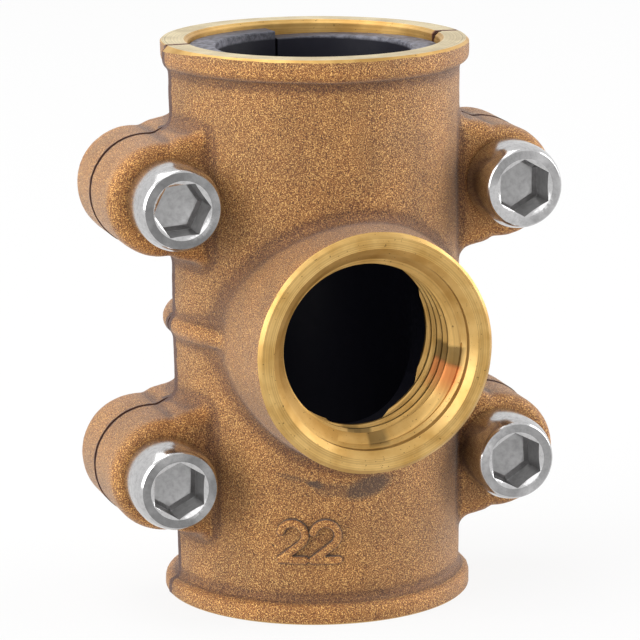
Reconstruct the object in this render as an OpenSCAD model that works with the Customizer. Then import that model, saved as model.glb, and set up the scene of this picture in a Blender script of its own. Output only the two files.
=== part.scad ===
// Tapping saddle for a 22 mm pipe with a G 1/2 side branch.
// Two cast bronze half shells clamp a split rubber sleeve onto the pipe with four
// socket head screws. The origin is where the pipe's axis (Z) crosses the branch's
// axis. The branch points towards -Y, and the shells part at the plane y = 0.

/* [Pipe and seal] */
// Outside diameter of the pipe, which is the bore of the rubber sleeve
pipe_d = 22; // [20:0.5:24]
// Wall of the rubber sleeve
seal_t = 3.05; // [2:0.05:4]
// Length of the rubber sleeve along the pipe
seal_len = 60.6; // [50:0.2:61]
// Width of the slit that lets the sleeve open over the pipe
slit_w = 0.4; // [0.2:0.1:1.5]
// Angle of the slit around the pipe, counted from +X
slit_angle = 95; // [80:1:110]
// How far one end of the sleeve has slid past the other at the slit
slit_step = 0.86; // [0.1:0.02:1.2]
// Radial clearance between the sleeve and the shells
seal_gap = 0.05; // [0.02:0.01:0.15]
// How far the sleeve's round window stands inside the roots of the branch's thread
window_lip = 0.3; // [0:0.05:0.4]

/* [Shells] */
// Length of both shells along the pipe
body_h = 63; // [58:1:80]
// Wall of the cast shells round the sleeve
wall_t = 2.15; // [1.6:0.05:3]
// Gap left between the two shells when they are tightened
split_gap = 0.3; // [0.1:0.05:0.6]
// How far the end beads stand out of the wall
bead_proud = 1.15; // [0.6:0.05:2]
// Length of the end beads along the pipe
bead_h = 2.5; // [1.8:0.1:4]
// Corner break at the machined end faces
end_break = 0.3; // [0.1:0.05:0.5]
// Chamfer at both ends of the shells' bore
bore_chamfer = 0.4; // [0.2:0.05:0.8]
// Width of the half-round rib at mid height
rib_w = 2.4; // [1.6:0.1:4]
// How far the rib stands out of the wall
rib_proud = 1.1; // [0.5:0.05:1.1]
// Angle that the front rib runs round from the parting plane
rib_sweep = 36; // [20:1:38]
// Round where the end beads meet the wall
bead_cove = 0.5; // [0.2:0.05:0.8]

/* [Branch] */
// Thread diameter over the roots, G 1/2 nominal
thread_d = 20.96; // [19:0.02:22]
// Wall of the branch outside the thread at its mouth
branch_wall = 2.87; // [2.2:0.01:4]
// How far the branch face stands out from the front of the shell
branch_proud = 5.45; // [3:0.05:12]
// How much the branch widens towards its root
branch_flare = 0.75; // [0.3:0.05:1.5]
// Depth of the plain counterbore before the thread
counterbore_depth = 1.6; // [1.2:0.1:2.8]
// How much wider than the thread roots the counterbore is, on the radius
counterbore_step = 0.42; // [0.2:0.02:0.6]
// Chamfer at the mouth of the branch
mouth_chamfer = 0.72; // [0.2:0.02:0.9]

/* [Ears] */
// Distance between the upper and the lower screws
screw_rise = 31.1; // [30.4:0.1:32]
// Distance from the shell's wall out to the screws' row
screw_out = 3.4; // [3.3:0.1:6]
// How far the upper screws sit to the right, and the lower ones to the left
screw_skew = 0.4; // [0:0.05:0.6]
// Metal round the screw head on the rounded end of an ear
ear_rim = 1.5; // [1:0.1:2.5]
// Thickness of the front ears
front_ear_t = 7.7; // [6:0.1:9]
// Thickness of the rear ears
rear_ear_t = 7.2; // [6:0.1:9]
// Rounding of the front ears' outer edge
front_ear_edge = 0.9; // [0.5:0.1:1.4]
// Rounding of the rear ears' outer edge
rear_ear_edge = 1.8; // [0.6:0.1:2.4]
// Round where an ear runs into the wall
ear_fillet = 2.3; // [1.5:0.1:2.6]
// Angle at which an ear's sides spread towards the wall
ear_splay = 11; // [4:1:14]

/* [Screws] */
// Nominal diameter of the screws
screw_d = 6; // [4:0.5:6]
// Length of the screws under the head
screw_len = 16; // [12:1:20]
// Diameter of the screw heads
head_d = 9.6; // [9:0.1:10.5]
// Height of the screw heads
head_h = 6; // [5:0.1:7]
// Rounded front edge of the screw heads
head_edge = 0.45; // [0.2:0.05:0.7]
// Size of the hexagon socket across its flats
socket_af = 5.6; // [4:0.1:6]
// Depth of the hexagon socket
socket_depth = 3.6; // [2.5:0.1:4.5]
// How much wider than the hexagon's corners the socket's countersink is
socket_lead = 0.3; // [0.1:0.05:0.6]
// Chamfer at the tip of the screws
tip_chamfer = 0.7; // [0.3:0.1:1]
// Play of the screws in the front ears, on the diameter
clear_hole = 0.6; // [0.3:0.1:1]
// Play of the screws in the tapped rear ears, on the diameter
tapped_play = 0.1; // [0.06:0.02:0.2]

/* [Hidden] */
$fn = 96;
// How far one cut runs into the next
cut_lap = 0.01;

seal_r = pipe_d / 2;
seal_or = seal_r + seal_t;
bore_r = seal_or + seal_gap;
wall_r = bore_r + wall_t;
bead_r = wall_r + bead_proud;
half_h = body_h / 2;

thread_r = thread_d / 2;
branch_r = thread_r + branch_wall;
branch_y = wall_r + branch_proud;
// The branch's cone ends inside the wall, at this share of the wall's radius, behind
// where it meets the shell's side
root_share = 0.42;
branch_root_y = wall_r * root_share;
counterbore_r = thread_r + counterbore_step;

head_r = head_d / 2;
screw_r = screw_d / 2;
screw_x = wall_r + screw_out;
screw_z = screw_rise / 2;
ear_r = head_r + ear_rim;
hex_corner_r = socket_af / 2 / cos(30);
// Depth of the drill point under the hexagon
socket_cone = socket_af * 0.25;

// Steps along the arcs of an ear's outline and along its rounded edge
tip_steps = 7;
fillet_steps = 4;
edge_steps = 3;
// Slope of the last step of the rounded edge, which runs on past the ear's face
edge_run = 3;
// How deep the ears reach into the wall
ear_sink = ear_fillet * 0.13;
ear_root = 1.1;
seal_steps = 36;
// Half the gap that the waste at the sleeve's ends leaves at the slit, in slit widths
waste_gap = 0.35;
// How far the front ribs run past the parting plane before they are cut there, in degrees
rib_lap = 6;
rib_ball_gap = 0.02;
rib_centre_r = wall_r + rib_proud - rib_w / 2;

// Name, side, upper or lower, and turn of the hexagon for each screw
SCREWS = [
    ["screw_upper_left", -1, 1, 4],
    ["screw_upper_right", 1, 1, 30],
    ["screw_lower_left", -1, -1, 28],
    ["screw_lower_right", 1, -1, 33]
];

bronze = [0.66, 0.48, 0.30];
rubber = [0.12, 0.12, 0.14];
zinc = [0.78, 0.78, 0.80];

// Where the axis of a screw passes, after the shift that the upper and lower pairs have
function screw_at(side, level) = [side * screw_x + level * screw_skew, level * screw_z];

// Points of an arc from angle a0 to a1
function arc(cx, cz, r, a0, a1, steps) =
    [for (i = [0:steps]) let (a = a0 + (a1 - a0) * i / steps) [cx + r * cos(a), cz + r * sin(a)]];

// How far out the wall's surface lies at the depth y
function wall_x(y) = sqrt(wall_r * wall_r - y * y);

// Upper half of an ear's outline, from its tip to inside the wall: an arc round the
// eye, a splayed side and a fillet into the wall. The whole edge is drawn in by inset.
function ear_half(wall, inset) =
    let (r = ear_r - inset, f = ear_fillet + inset, base = wall - ear_sink, cu = base + f,
         cw = (r + f - sin(ear_splay) * (cu - screw_x)) / cos(ear_splay))
    concat(arc(screw_x, 0, r, 0, 90 - ear_splay, tip_steps),
           arc(cu, cw, f, 270 - ear_splay, 180, fillet_steps),
           [[base - ear_root, cw]]);

function ear_outline(wall, inset) =
    let (upper = ear_half(wall, inset), n = len(upper))
    concat(upper, [for (i = [n - 1:-1:1]) [upper[i][0], -upper[i][1]]]);

// Depth and inset of each section of an ear: straight sides, then the rounded edge,
// whose last step runs on past the face at y = t
function ear_sections(t, edge) = concat(
    [[0, 0], [(t - edge) / 2, 0]],
    [for (k = [0:edge_steps]) let (a = 90 * k / edge_steps, more = k < edge_steps ? 0 : edge * (1 - sin(60)))
        [t - edge + edge * sin(a) + more, edge * (1 - cos(a)) + more * edge_run]]);

// Faces between stacked rings of n points, closed at both ends
function stack_faces(rings, n) = concat(
    [[for (i = [n - 1:-1:0]) i]],
    [for (k = [0:rings - 2], i = [0:n - 1]) let (j = (i + 1) % n)
        [k * n + i, k * n + j, (k + 1) * n + i]],
    [for (k = [0:rings - 2], i = [0:n - 1]) let (j = (i + 1) % n)
        [k * n + j, (k + 1) * n + j, (k + 1) * n + i]],
    [[for (i = [0:n - 1]) (rings - 1) * n + i]]);

// One ear, reaching from the parting plane to y = t, at the right of the shell. Its
// rounded edge is cut off square at y = t, which leaves one flat face round the hole.
module ear(t, edge) {
    sections = ear_sections(t, edge);
    outline_size = len(ear_outline(wall_r, 0));
    points = [for (s = sections, p = ear_outline(wall_x(s[0]), s[1])) [p[0], s[0], p[1]]];
    reach = screw_x + ear_r;
    difference() {
        mirror([0, 0, 1]) polyhedron(points, stack_faces(len(sections), outline_size), convexity = 6);
        translate([0, t, -reach]) cube([2 * reach, reach, 2 * reach]);
    }
}

// The four ears of one shell, on the side of the parting plane given by facing
module ears(t, edge, facing) {
    for (side = [-1, 1], level = [-1, 1])
        translate([0, 0, level * screw_z])
            mirror([side < 0 ? 1 : 0, 0, 0]) mirror([0, facing < 0 ? 1 : 0, 0]) ear(t, edge);
}

// Half section of the shells' outside: wall and end beads with a rounded inner
// shoulder and a small cove into the wall
module shell_section() {
    shoulder = bead_proud - bead_cove;
    translate([bore_r - wall_t / 2, -half_h]) square([wall_t * 1.5, body_h]);
    for (end = [0, 1]) mirror([0, end]) translate([0, half_h]) {
        translate([wall_r - wall_t, -bead_h + shoulder])
            square([wall_t + bead_proud - end_break, bead_h - shoulder]);
        translate([wall_r - wall_t, -bead_h + shoulder])
            square([wall_t + bead_proud, bead_h - shoulder - end_break]);
        translate([bead_r - shoulder, -bead_h + shoulder]) circle(shoulder);
        translate([wall_r - wall_t, -bead_h]) square([wall_t + bead_cove, shoulder]);
        difference() {
            translate([wall_r - wall_t, -bead_h - bead_cove]) square([wall_t + bead_cove, bead_cove]);
            translate([wall_r + bead_cove, -bead_h - bead_cove]) circle(bead_cove);
        }
    }
}

// Half-round rib round the wall at mid height, from angle a0 to a1. Its ball end at a1
// is a hair smaller than the rib.
module rib(a0, a1) {
    rotate([0, 0, a0]) rotate_extrude(angle = a1 - a0) translate([rib_centre_r, 0]) circle(rib_w / 2);
    rotate([0, 0, a1]) translate([rib_centre_r, 0, 0]) sphere(rib_w / 2 - rib_ball_gap);
}

// The outside of the branch: a cone that widens from the mouth to its root
module branch_outside() {
    rotate([90, 0, 0]) rotate_extrude() polygon([
        [0, branch_root_y],
        [branch_r + branch_flare, branch_root_y],
        [branch_r, branch_y - end_break],
        [branch_r - end_break, branch_y],
        [0, branch_y]
    ]);
}

// What is bored out of the branch: the thread's root cylinder, the counterbore and
// the chamfer at its mouth
module branch_inside() {
    depth = branch_y - counterbore_depth;
    rotate([90, 0, 0]) rotate_extrude() polygon([
        [0, 0],
        [thread_r, 0],
        [thread_r, depth - counterbore_step],
        [counterbore_r, depth],
        [counterbore_r, branch_y - mouth_chamfer],
        [counterbore_r + mouth_chamfer, branch_y],
        [counterbore_r + mouth_chamfer, branch_y + 1],
        [0, branch_y + 1]
    ]);
}

// The machined bore of the shells with a chamfer at both ends
module shell_bore() {
    rotate_extrude() polygon([
        [0, -half_h - 1],
        [bore_r + bore_chamfer, -half_h - 1],
        [bore_r + bore_chamfer, -half_h],
        [bore_r, -half_h + bore_chamfer],
        [bore_r, half_h - bore_chamfer],
        [bore_r + bore_chamfer, half_h],
        [bore_r + bore_chamfer, half_h + 1],
        [0, half_h + 1]
    ]);
}

// Holes for the four screws through the ears on one side of the parting plane
module screw_holes(d, facing) {
    for (s = SCREWS) {
        at = screw_at(s[1], s[2]);
        translate([at[0], 0, at[1]]) rotate([-90 * facing, 0, 0])
            translate([0, 0, -1]) cylinder(d = d, h = max(front_ear_t, rear_ear_t) + 2);
    }
}

// Everything on the far side of the parting plane, with half of the gap
module parting_cut(facing) {
    size = 2 * (screw_x + ear_r + 5);
    translate([-size / 2, facing > 0 ? split_gap / 2 - size : -split_gap / 2, -size])
        cube([size, size, 2 * size]);
}

module front_shell() {
    color(bronze) difference() {
        union() {
            rotate_extrude() shell_section();
            branch_outside();
            rib(180 - rib_lap, 180 + rib_sweep);
            mirror([1, 0, 0]) rib(180 - rib_lap, 180 + rib_sweep);
            ears(front_ear_t, front_ear_edge, -1);
        }
        shell_bore();
        branch_inside();
        screw_holes(screw_d + clear_hole, -1);
        parting_cut(-1);
    }
}

module rear_shell() {
    color(bronze) difference() {
        union() {
            rotate_extrude() shell_section();
            rotate_extrude() translate([rib_centre_r, 0]) circle(rib_w / 2);
            ears(rear_ear_t, rear_ear_edge, 1);
        }
        shell_bore();
        screw_holes(screw_d + tapped_play, 1);
        parting_cut(1);
    }
}

// How far the sleeve's end has slid along the pipe at the share t of the way round
function slide_at(t) = slit_step * (0.5 - pow(1 - t, 3));

// A ring of waste above (or below) the sleeve, bounded by its slid end
module end_waste(level) {
    r0 = seal_r - 1;
    r1 = seal_or + 1;
    far = seal_len / 2 + slit_step + 1;
    // The waste stops short of meeting itself, inside the slit
    rest = waste_gap * slit_w / seal_or * 180 / PI;
    points = [for (i = [0:seal_steps])
        let (t = i / seal_steps, a = slit_angle - rest - (360 - 2 * rest) * t,
             z = slide_at(t) + level * seal_len / 2, low = min(z, level * far), high = max(z, level * far))
        each [for (p = [[r0, low], [r0, high], [r1, high], [r1, low]])
            [p[0] * cos(a), p[0] * sin(a), p[1]]]];
    polyhedron(points, stack_faces(seal_steps + 1, 4), convexity = 4);
}

module seal_sleeve() {
    color(rubber) difference() {
        cylinder(r = seal_or, h = seal_len + slit_step, center = true);
        cylinder(r = seal_r, h = body_h + 2, center = true);
        rotate([90, 0, 0]) cylinder(r = thread_r - window_lip, h = branch_y);
        rotate([0, 0, slit_angle]) translate([0, -slit_w / 2, -half_h])
            cube([seal_or + 1, slit_w, body_h]);
        end_waste(1);
        end_waste(-1);
    }
}

// A socket head screw along its own axis, its head's front at +Z and its seat at z = 0
module screw(turn) {
    floor_z = head_h - socket_depth;
    difference() {
        union() {
            rotate_extrude() {
                square([head_r, head_h - head_edge]);
                square([head_r - head_edge, head_h]);
                translate([head_r - head_edge, head_h - head_edge]) circle(head_edge);
            }
            translate([0, 0, -screw_len + tip_chamfer])
                cylinder(r = screw_r, h = screw_len - tip_chamfer + 1);
            translate([0, 0, -screw_len])
                cylinder(r1 = screw_r - tip_chamfer, r2 = screw_r, h = tip_chamfer);
        }
        rotate([0, 0, turn]) translate([0, 0, floor_z])
            cylinder(r = hex_corner_r, h = socket_depth + 1, $fn = 6);
        translate([0, 0, floor_z - socket_cone])
            cylinder(r1 = 0, r2 = socket_af / 2, h = socket_cone + cut_lap);
        translate([0, 0, head_h - socket_lead])
            cylinder(r1 = hex_corner_r - socket_lead, r2 = hex_corner_r + socket_lead, h = 2 * socket_lead);
    }
}

module placed_screw(s) {
    at = screw_at(s[1], s[2]);
    color(zinc) translate([at[0], -front_ear_t, at[1]]) rotate([90, 0, 0]) screw(s[3]);
}

front_shell();
rear_shell();
seal_sleeve();
for (s = SCREWS)
    placed_screw(s);
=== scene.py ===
# %% [markdown]
# # A tapping saddle in cast bronze
#
# The real object clamps a side branch onto a 22 mm pipe. Two sand-cast bronze shells
# hold a slit rubber sleeve, four socket head screws pull them together, and the front
# shell carries a short branch with a G 1/2 internal thread.
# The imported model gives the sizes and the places. This script gives the looks: soft
# cast skin, crisp turned faces, real threads, and a finish for each material.

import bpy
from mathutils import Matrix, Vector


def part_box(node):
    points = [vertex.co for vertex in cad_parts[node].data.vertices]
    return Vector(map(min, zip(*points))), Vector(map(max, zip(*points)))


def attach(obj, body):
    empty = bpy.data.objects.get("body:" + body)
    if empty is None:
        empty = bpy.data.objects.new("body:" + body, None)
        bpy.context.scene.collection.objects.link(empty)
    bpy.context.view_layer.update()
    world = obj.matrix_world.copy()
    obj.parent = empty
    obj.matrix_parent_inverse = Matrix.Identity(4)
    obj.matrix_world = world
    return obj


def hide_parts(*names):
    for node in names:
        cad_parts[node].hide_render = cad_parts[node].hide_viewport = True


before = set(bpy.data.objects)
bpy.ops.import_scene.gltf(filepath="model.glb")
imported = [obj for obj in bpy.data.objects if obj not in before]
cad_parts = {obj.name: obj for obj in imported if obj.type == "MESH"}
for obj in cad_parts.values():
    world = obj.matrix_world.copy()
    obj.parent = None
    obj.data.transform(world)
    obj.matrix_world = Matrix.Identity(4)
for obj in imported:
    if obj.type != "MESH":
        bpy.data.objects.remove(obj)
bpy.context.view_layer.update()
print("nodes:", sorted(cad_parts))

# %% Tools
import math

import bmesh
import bpy
import numpy as np
from mathutils import Matrix, Vector

scene = bpy.context.scene

# %% [markdown]
# ## Sizes
#
# Blender works in metres. The sizes below are in millimetres, and each mesh is shrunk by
# MM when it is made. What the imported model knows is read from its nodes.

# %% Sizes in millimetres
MM = 0.001


def box_mm(name):
    """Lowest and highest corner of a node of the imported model, in millimetres."""
    low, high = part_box(name)
    return low / MM, high / MM


shell_low, shell_high = box_mm("front_shell")
seal_high = box_mm("seal_sleeve")[1]

half_h = shell_high.z
branch_y = -shell_low.y
seal_or = seal_high.x
seal_t = 3.05
seal_r = seal_or - seal_t
sleeve_gap = 0.05
bore_r = seal_or + sleeve_gap
wall_t = 2.15
wall_r = bore_r + wall_t
bead_proud = 1.15
bead_r = wall_r + bead_proud
bead_h = 2.5
thread_r = 10.48
crest_r = 9.32
branch_t = 2.87
branch_r = thread_r + branch_t
counterbore_r = thread_r + 0.42
clearance_r = 3.3
tapped_r = 3.05
ear_r = 6.3
ear_x = shell_high.x - ear_r
ear_z = 15.55
front_ear_t = 7.7
rear_ear_t = 7.2
split_gap = 0.3
print("half height", round(half_h, 2), "branch face", round(branch_y, 2), "ear at", round(ear_x, 2))

# %% [markdown]
# A sand casting is never quite true: the front shell stands wide of the slim rear one
# at its left edge, and no two ears sit or swell alike.

# %% Slips of this casting
wall_spread = 0.52
wall_lean = 0.005
bead_spread = 0.36
rear_slim = 1.045
ear_drop = {"upper_left": 0.05, "upper_right": 0.36, "lower_left": -0.08, "lower_right": 0.42}
ear_growth = {"upper_left": 0.0, "upper_right": 0.08, "lower_left": 0.08, "lower_right": 0.26}
print("ears drop by", ear_drop)

# %% [markdown]
# ## The camera
#
# The camera stands a little to the left of the branch and a little above it, with a
# long lens. Each machined circle is an ellipse in the picture, and only one camera
# fits them all.

# %% The camera
azimuth = math.radians(-17.826)
elevation = math.radians(12.732)
roll = math.radians(-0.349)
distance = 416.443
aim_right = 0.517
aim_up = -0.786
lens_px = 3673.64
picture_px = 640
sensor_mm = 36

back = Vector((math.sin(azimuth) * math.cos(elevation),
               -math.cos(azimuth) * math.cos(elevation),
               math.sin(elevation)))
level_right = (-back).cross(Vector((0, 0, 1))).normalized()
level_up = level_right.cross(-back)
right = level_right * math.cos(roll) + level_up * math.sin(roll)
up = level_up * math.cos(roll) - level_right * math.sin(roll)
place = aim_right * right + aim_up * up + distance * back

camera_data = bpy.data.cameras.new("camera")
camera_data.sensor_width = sensor_mm
camera_data.lens = lens_px * sensor_mm / picture_px
camera_data.clip_start = 0.01
camera = bpy.data.objects.new("camera", camera_data)
camera.matrix_world = Matrix.Translation(place * MM) @ Matrix((right, up, back)).transposed().to_4x4()
scene.collection.objects.link(camera)
scene.camera = camera
print("lens", round(camera_data.lens, 1), "mm, camera at", [round(c) for c in place], "mm")

# %% [markdown]
# ## Helpers for node trees and meshes
#
# Shader trees and geometry trees are built the same way, so one helper adds a node and
# fills its inputs with values or links. A node given as a value means its first output.

# %% Node helper
def node(tree, kind, inputs=None, **settings):
    """Adds a node, sets its properties, and fills its inputs with values or links."""
    made = tree.nodes.new(kind)
    for name, value in settings.items():
        setattr(made, name, value)
    for socket, value in (inputs or {}).items():
        if isinstance(value, bpy.types.Node):
            value = value.outputs[0]
        if isinstance(value, bpy.types.NodeSocket):
            tree.links.new(value, made.inputs[socket])
        else:
            made.inputs[socket].default_value = value
    return made


# %% Mesh helpers
def mesh_object(name, points, faces):
    """A new object at the origin, with its points in millimetres made metres."""
    mesh = bpy.data.meshes.new(name)
    mesh.from_pydata(np.asarray(points) * MM, [], faces)
    made = bpy.data.objects.new(name, mesh)
    scene.collection.objects.link(made)
    return made


def close_and_turn_out(piece):
    """Merges doubled points and turns every face outwards."""
    shape = bmesh.new()
    shape.from_mesh(piece.data)
    bmesh.ops.remove_doubles(shape, verts=shape.verts, dist=1e-7)
    bmesh.ops.recalc_face_normals(shape, faces=shape.faces)
    shape.to_mesh(piece.data)
    shape.free()


def turned(name, profile, to_world=lambda x, y, h: (x, y, h), segments=192):
    """A solid of revolution from (radius, height) points that start and end on the axis."""
    points = []
    for k in range(segments):
        angle = 2 * math.pi * k / segments
        points += [to_world(r * math.cos(angle), r * math.sin(angle), h) for r, h in profile]
    n = len(profile)
    faces = []
    for k in range(segments):
        a = k * n
        b = (k + 1) % segments * n
        faces += [(a + i, b + i, b + i + 1, a + i + 1) for i in range(n - 1)]
    made = mesh_object(name, points, faces)
    close_and_turn_out(made)
    return made


def block(name, low, high):
    """A box between two corners, used as a cutter."""
    corners = [(x, y, z) for x in (low[0], high[0]) for y in (low[1], high[1]) for z in (low[2], high[2])]
    faces = [(0, 1, 3, 2), (4, 6, 7, 5), (0, 4, 5, 1), (2, 3, 7, 6), (0, 2, 6, 4), (1, 5, 7, 3)]
    return mesh_object(name, corners, faces)


def bake_modifiers(piece):
    """Replaces a piece's mesh with what its modifiers make of it, and removes them."""
    graph = bpy.context.evaluated_depsgraph_get()
    mesh = bpy.data.meshes.new_from_object(piece.evaluated_get(graph))
    piece.modifiers.clear()
    piece.data = mesh
    return piece


def machine(piece, steps):
    """Cuts or adds each (operation, tool) in turn, and deletes the tools."""
    for operation, tool in steps:
        change = piece.modifiers.new(tool.name, "BOOLEAN")
        change.operation = operation
        change.solver = "MANIFOLD"
        change.object = tool
    bake_modifiers(piece)
    for _, tool in steps:
        bpy.data.objects.remove(tool)
    return piece


def face_places(mesh):
    """The faces' centres in millimetres and their normals, each as three arrays."""
    centre = np.empty(len(mesh.polygons) * 3)
    normal = np.empty(len(mesh.polygons) * 3)
    mesh.polygons.foreach_get("center", centre)
    mesh.polygons.foreach_get("normal", normal)
    return centre.reshape(-1, 3).T / MM, normal.reshape(-1, 3).T


def store(mesh, domain, **values):
    """Stores each list of numbers on the points or on the faces, under its name."""
    for name, numbers in values.items():
        kept = mesh.attributes.new(name, "FLOAT", domain)
        kept.data.foreach_set("value", np.asarray(numbers, dtype=np.float32))


# %% [markdown]
# ## Materials
#
# Every finish is made of nodes and reads Object coordinates. All share a few steps: a
# colour that varies, a roughness that varies with it, and a bump.

# %% Material helpers
def new_material(name):
    material = bpy.data.materials.new(name)
    material.use_nodes = True
    tree = material.node_tree
    tree.nodes.clear()
    return material, tree


def srgb(*levels):
    """A colour as a picture shows it, 0 to 255, made linear for a shader socket."""
    shares = [level / 255 for level in levels]
    return (*[c / 12.92 if c <= 0.04045 else ((c + 0.055) / 1.055) ** 2.4 for c in shares], 1.0)


def calc(tree, operation, a, b=None, c=None, clamp=False):
    """A math node on numbers or links, in either kind of tree."""
    inputs = {k: v for k, v in enumerate((a, b, c)) if v is not None}
    return node(tree, "ShaderNodeMath", inputs, operation=operation, use_clamp=clamp)


def object_place(tree):
    """Where a point lies on its object, as one vector and as X, Y and Z."""
    where = node(tree, "ShaderNodeTexCoord").outputs["Object"]
    return where, node(tree, "ShaderNodeSeparateXYZ", {0: where}).outputs


def noise(tree, where, size_mm, detail=2.0, roughness=0.5):
    """Noise whose grain is about size_mm across."""
    return node(tree, "ShaderNodeTexNoise", {"Vector": where, "Scale": 1 / (size_mm * MM),
                                             "Detail": detail, "Roughness": roughness})


def ramp(tree, value, stops):
    """A colour ramp from (position, colour) stops, where a bare number is a grey."""
    made = node(tree, "ShaderNodeValToRGB", {"Fac": value})
    elements = made.color_ramp.elements
    while len(elements) < len(stops):
        elements.new(0.5)
    for element, (position, colour) in zip(elements, stops):
        element.position = position
        element.color = grey(colour) if isinstance(colour, float) else colour
    return made.outputs["Color"]


def mix(tree, share, a, b, blend="MIX"):
    """A blend of two colours. Sockets 6 and 7 and output 2 are the ones for colours."""
    made = node(tree, "ShaderNodeMix", {"Factor": share, 6: a, 7: b}, data_type="RGBA", blend_type=blend)
    return made.outputs[2]


def tint(tree, colour, by):
    """One colour multiplied by another."""
    return mix(tree, 1.0, colour, by, "MULTIPLY")


def grey(value):
    return (value, value, value, 1.0)


def finish_material(tree, colour, roughness, bump, metallic, depth_mm):
    normal = node(tree, "ShaderNodeBump", {"Height": bump, "Distance": depth_mm * MM, "Strength": 1.0})
    shader = node(tree, "ShaderNodeBsdfPrincipled", {"Base Color": colour, "Roughness": roughness,
                                                     "Normal": normal})
    shader.inputs["Metallic"].default_value = metallic
    node(tree, "ShaderNodeOutputMaterial", {"Surface": shader})
    return shader


# %% [markdown]
# The cast skin takes its colour from a fine noise. Pits, clouds, painted shade in the
# creases, rubbed edges, and dirt with painted shade come on top, by numbers that are stored on the points
# further down.

# %% Cast bronze
def attribute(tree, name):
    """A number that was stored on the points or the faces."""
    return node(tree, "ShaderNodeAttribute", attribute_name=name).outputs["Fac"]


def parting_share(tree, where, split, half_width):
    """1 along the ragged dark edges where the shells part, 0 elsewhere, thin on the ears."""
    wall_half_x = 18.0
    on_ears = 0.35
    blur = 0.1
    ragged = calc(tree, "MULTIPLY_ADD", noise(tree, where, 0.7, 3.0), 0.8 * MM, -0.4 * MM)
    away = calc(tree, "ADD", calc(tree, "ABSOLUTE", split["Y"]), ragged)
    on_wall = calc(tree, "LESS_THAN", calc(tree, "ABSOLUTE", split["X"]), wall_half_x * MM)
    reach = calc(tree, "MULTIPLY_ADD", on_wall, half_width - on_ears, on_ears)
    limit = calc(tree, "MULTIPLY", reach, 1 / blur)
    return calc(tree, "MULTIPLY_ADD", away, -1 / (blur * MM), limit, clamp=True)


def cast_bronze_material():
    """The skin that sand leaves: fine dull grains, painted shade in creases, golden rubbed edges."""
    material, tree = new_material("cast_bronze")
    where, split = object_place(tree)
    grain = noise(tree, where, 0.13, 3.0, 0.7)
    patches = noise(tree, where, 5.0, 3.0)
    colour = ramp(tree, grain, [(0.37, srgb(70, 34, 8)), (0.46, srgb(134, 82, 31)),
                                (0.54, srgb(161, 107, 47)), (0.63, srgb(238, 193, 116))])
    pits = node(tree, "ShaderNodeTexVoronoi", {"Vector": where, "Scale": 1 / (2.2 * MM)})
    pit_shade = ramp(tree, pits.outputs["Distance"], [(0.035, 0.2), (0.05, 1.0)])
    colour = tint(tree, colour, pit_shade)
    cloud = ramp(tree, patches, [(0.3, 0.82), (0.7, 1.12)])
    colour = tint(tree, colour, cloud)
    # Painted shade: low relief darkens the creases, while high relief brightens edges as rubbed wear.
    height = calc(tree, "MULTIPLY_ADD", attribute(tree, "relief"), 2.8, 0.46)
    crease_shade_and_wear = ramp(tree, height, [(0.05, (0.55, 0.47, 0.38, 1)), (0.42, (0.95, 0.93, 0.9, 1)),
                               (0.5, 1.0), (0.8, (1.14, 1.1, 1.0, 1))])
    colour = tint(tree, colour, crease_shade_and_wear)
    # Dirt and painted shade: dark rims at the numerals' feet, and blots of stain and painted shadow under the
    # branch.
    dirt = calc(tree, "MULTIPLY_ADD", attribute(tree, "dirt"), 1.4, 0.35)
    dirt = calc(tree, "MULTIPLY_ADD", grain, -1.2, dirt)
    dirt = calc(tree, "MULTIPLY", dirt, 0.85, clamp=True)
    colour = mix(tree, dirt, colour, srgb(74, 50, 34))
    colour = mix(tree, parting_share(tree, where, split, 1.1), colour, srgb(78, 36, 8))
    rough = ramp(tree, grain, [(0.4, 0.7), (0.62, 0.42)])
    shader = finish_material(tree, colour, rough, grain, 0.35, 0.1)
    shader.inputs["Specular IOR Level"].default_value = 0.85
    shader.inputs["Sheen Weight"].default_value = 0.28
    shader.inputs["Sheen Roughness"].default_value = 0.4
    return material


# %% [markdown]
# The lines of the tool are a noise that reads a single number, which grows across each
# turned face, so that every line runs round in a ring.

# %% Machined bronze
def turned_bronze_material(name, axis, tones):
    """Golden turned faces, with tool lines that run round the axis they were turned on."""
    material, tree = new_material(name)
    where, split = object_place(tree)
    across, along = (("X", "Z"), "Y") if axis == "Y" else (("X", "Y"), "Z")
    radius = calc(tree, "SQRT", calc(tree, "ADD", calc(tree, "POWER", split[across[0]], 2.0),
                                     calc(tree, "POWER", split[across[1]], 2.0)))
    line_place = calc(tree, "ADD", radius, split[along])
    line_vector = node(tree, "ShaderNodeCombineXYZ", {"X": line_place})
    lines = noise(tree, line_vector, 0.2, 3.0, 0.7)
    patches = noise(tree, where, 3.0, 3.0)
    base = ramp(tree, patches, [(0.35, srgb(*tones[0])), (0.65, srgb(*tones[1]))])
    shade = ramp(tree, lines, [(0.34, 0.45), (0.44, 0.9), (0.62, 1.2)])
    colour = tint(tree, base, shade)
    specks = ramp(tree, noise(tree, where, 0.3, 2.0), [(0.26, 0.3), (0.31, 1.0)])
    colour = tint(tree, colour, specks)
    # On the branch, the thread inside it gets painted shade and is a little darker.
    if axis == "Y":
        thread_side = 10.6
        in_thread = calc(tree, "LESS_THAN", radius, thread_side * MM)
        colour = mix(tree, in_thread, colour, tint(tree, colour, (0.96, 0.93, 0.88, 1)))
    # A painted orange reflection on the lower right of the thread.
    colour = mix(tree, attribute(tree, "tarnish"), colour, srgb(186, 100, 52))
    colour = mix(tree, attribute(tree, "dirt"), colour, srgb(70, 54, 26))
    colour = mix(tree, parting_share(tree, where, split, 0.5), colour, srgb(112, 60, 18))
    rough = ramp(tree, lines, [(0.3, 0.5), (0.7, 0.35)])
    finish_material(tree, colour, rough, lines, 0.75, 0.03)
    return material
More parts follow.
